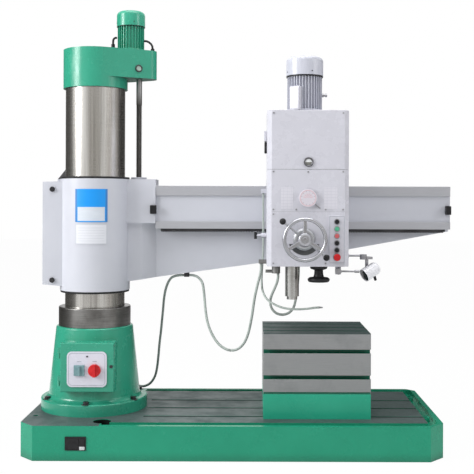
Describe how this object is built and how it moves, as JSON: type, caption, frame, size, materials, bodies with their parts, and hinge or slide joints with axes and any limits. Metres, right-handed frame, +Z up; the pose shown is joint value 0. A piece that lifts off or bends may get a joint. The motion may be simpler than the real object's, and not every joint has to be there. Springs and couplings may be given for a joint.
{
  "type": "radial arm drill",
  "caption": "Floor-standing radial drill: T-slotted base, swinging column, rising arm and travelling head with a feeding spindle, box table and coolant hoses.",
  "frame": {"origin": "column axis at floor level, under the base", "axes": "+X along the arm at rest, away from the column; +Y to the back, away from the operator; +Z up"},
  "size_m": [2.438, 1.005, 2.533],
  "materials": {
    "green_paint": "gloss enamel over machined top faces",
    "pale_paint": "satin enamel",
    "bright_steel": "ground and polished",
    "ground_steel": "ground",
    "dark_steel": "oiled",
    "table_iron": "planed bands over painted grooves",
    "plain_iron": "machined",
    "bronze": "machined",
    "black_rubber": "matt",
    "black_plastic": "moulded",
    "red_plastic": "moulded",
    "green_plastic": "moulded",
    "pink_plastic": "moulded",
    "teal_plastic": "moulded",
    "grey_hose": "satin",
    "plate_metal": "printed plates",
    "oil_glass": "clear with a steel ring",
    "white_paint": "gloss enamel",
    "rotor_alloy": "cast"
  },
  "bodies": {
    "base": {"base_casting": "green_paint", "front_plate": "black_plastic", "pedestal": "green_paint", "pedestal_bolts": "dark_steel", "inner_column": "plain_iron", "column_bearings": "dark_steel", "box_table": "table_iron", "table_bolts": "dark_steel", "coolant_pump": "plain_iron", "switch_box": "green_paint", "supply_hose_low": "grey_hose"},
    "door": {"switch_door": "green_paint"},
    "isolator": {"isolator_knob": "red_plastic"},
    "pump_switch": {"pump_switch": "teal_plastic"},
    "column": {"outer_column": "bright_steel", "clamp_ring": "bright_steel", "guide_key": "dark_steel", "column_cap": "green_paint", "lift_motor": "green_paint", "lift_leads": "black_rubber", "supply_hose_high": "grey_hose"},
    "rotor": {"lift_rotor": "rotor_alloy"},
    "screw": {"lead_screw": "dark_steel"},
    "arm": {"arm_casting": "pale_paint", "guide_rails": "ground_steel", "traverse_rack": "dark_steel", "lift_nut": "bronze", "wiper_rings": "black_rubber", "ear_bolts": "dark_steel", "end_stops": "black_rubber", "sleeve_plates": "plate_metal", "hose_clip": "dark_steel", "supply_loop": "grey_hose"},
    "head": {"head_casting": "pale_paint", "upper_cover": "pale_paint", "dial_panel": "pale_paint", "lower_cover": "pale_paint", "saddle_keepers": "ground_steel", "main_motor": "pale_paint", "sight_glass": "oil_glass", "lamp_bracket": "white_paint", "coolant_manifold": "dark_steel", "nozzle_hose": "grey_hose", "loop_hose": "grey_hose"},
    "quill": {"quill": "bright_steel"},
    "spindle": {"spindle": "bright_steel"},
    "feed_handle": {"feed_handle": "bright_steel"},
    "handwheel": {"handwheel": "bright_steel"},
    "speed_dial": {"speed_dial": "white_paint"},
    "fine_feed": {"fine_feed_knob": "black_plastic"},
    "operating_lever": {"operating_lever": "ground_steel"},
    "clamp_lever": {"head_clamp_lever": "white_paint"},
    "lamp_arm": {"lamp_arm": "white_paint"},
    "lamp_body": {"lamp_body": "white_paint"},
    "button_top": {"button_top": "black_plastic"},
    "button_start": {"button_start": "green_plastic"},
    "button_reverse": {"button_reverse": "pink_plastic"},
    "button_up": {"button_up": "black_plastic"},
    "button_down": {"button_down": "black_plastic"},
    "button_stop": {"button_stop": "red_plastic"}
  },
  "joints": [
    {"name": "column_swing", "type": "hinge", "parent": "base", "child": "column", "pos_m": [0, 0, 0], "axis": [0, 0, 1], "range_deg": [-90, 90], "deforming": ["supply_hose_low"]},
    {"name": "arm_lift", "type": "slide", "parent": "column", "child": "arm", "axis": [0, 0, 1], "range_m": [-0.07, 0.51], "deforming": ["supply_hose_high"]},
    {"name": "screw_spin", "type": "hinge", "parent": "column", "child": "screw", "pos_m": [0.259, 0, 1.4], "axis": [0, 0, 1], "continuous": true},
    {"name": "rotor_spin", "type": "hinge", "parent": "column", "child": "rotor", "pos_m": [0.209, 0, 2.2], "axis": [0, 0, 1], "continuous": true},
    {"name": "head_traverse", "type": "slide", "parent": "arm", "child": "head", "axis": [1, 0, 0], "range_m": [-0.643, 0.6], "deforming": ["supply_loop"]},
    {"name": "handwheel_spin", "type": "hinge", "parent": "head", "child": "handwheel", "pos_m": [1.222, -0.4, 1.199], "axis": [0, 1, 0], "continuous": true},
    {"name": "quill_feed", "type": "slide", "parent": "head", "child": "quill", "axis": [0, 0, -1], "range_m": [-0.145, 0.17]},
    {"name": "feed_handle_spin", "type": "hinge", "parent": "head", "child": "feed_handle", "pos_m": [1.222, -0.4, 1.199], "axis": [0, 1, 0], "continuous": true},
    {"name": "spindle_spin", "type": "hinge", "parent": "quill", "child": "spindle", "pos_m": [1.163, -0.24, 0.9], "axis": [0, 0, 1], "continuous": true},
    {"name": "speed_dial_turn", "type": "hinge", "parent": "head", "child": "speed_dial", "pos_m": [1.242, -0.4, 1.426], "axis": [0, 1, 0], "continuous": true},
    {"name": "button_top_press", "type": "slide", "parent": "head", "child": "button_top", "axis": [0, 1, 0], "range_m": [0, 0.004], "stiffness_N_per_m": 800, "springref_m": -0.004},
    {"name": "button_start_press", "type": "slide", "parent": "head", "child": "button_start", "axis": [0, 1, 0], "range_m": [0, 0.004], "stiffness_N_per_m": 800, "springref_m": -0.004},
    {"name": "button_reverse_press", "type": "slide", "parent": "head", "child": "button_reverse", "axis": [0, 1, 0], "range_m": [0, 0.004], "stiffness_N_per_m": 800, "springref_m": -0.004},
    {"name": "button_up_press", "type": "slide", "parent": "head", "child": "button_up", "axis": [0, 1, 0], "range_m": [0, 0.004], "stiffness_N_per_m": 800, "springref_m": -0.004},
    {"name": "button_down_press", "type": "slide", "parent": "head", "child": "button_down", "axis": [0, 1, 0], "range_m": [0, 0.004], "stiffness_N_per_m": 800, "springref_m": -0.004},
    {"name": "button_stop_press", "type": "slide", "parent": "head", "child": "button_stop", "axis": [0, 1, 0], "range_m": [0, 0.004], "stiffness_N_per_m": 800, "springref_m": -0.004},
    {"name": "fine_feed_turn", "type": "hinge", "parent": "head", "child": "fine_feed", "pos_m": [1.308, -0.33, 1], "axis": [0, 0, 1], "continuous": true},
    {"name": "operating_lever_swing", "type": "hinge", "parent": "head", "child": "operating_lever", "pos_m": [1.415, -0.35, 1.02], "axis": [0, 1, 0], "range_deg": [-15, 15]},
    {"name": "clamp_lever_turn", "type": "hinge", "parent": "head", "child": "clamp_lever", "pos_m": [1, -0.2, 1.213], "axis": [1, 0, 0], "range_deg": [-30, 30]},
    {"name": "lamp_swivel", "type": "hinge", "parent": "head", "child": "lamp_arm", "pos_m": [1.557, -0.33, 1.1], "axis": [0, 0, 1], "range_deg": [-35, 45]},
    {"name": "lamp_tilt", "type": "hinge", "parent": "lamp_arm", "child": "lamp_body", "pos_m": [1.60141, -0.30929, 1.018], "axis": [-0.4226, 0.9063, 0], "range_deg": [-30, 30]},
    {"name": "door_swing", "type": "hinge", "parent": "base", "child": "door", "pos_m": [-0.1525, -0.277, 0.45], "axis": [0, 0, -1], "range_deg": [0, 110]},
    {"name": "isolator_turn", "type": "hinge", "parent": "door", "child": "isolator", "pos_m": [0.052, -0.3, 0.454], "axis": [0, 1, 0], "range_deg": [0, 90]},
    {"name": "pump_switch_turn", "type": "hinge", "parent": "door", "child": "pump_switch", "pos_m": [-0.034, -0.3, 0.454], "axis": [0, 1, 0], "range_deg": [0, 90]}
  ],
  "couplings": [
    {"joint": "screw_spin", "follows": "arm_lift", "rad_per_m": -1047.2},
    {"joint": "rotor_spin", "follows": "arm_lift", "rad_per_m": 1944.8},
    {"joint": "handwheel_spin", "follows": "head_traverse", "rad_per_m": -33.333},
    {"joint": "feed_handle_spin", "follows": "quill_feed", "rad_per_m": -41.667}
  ]
}
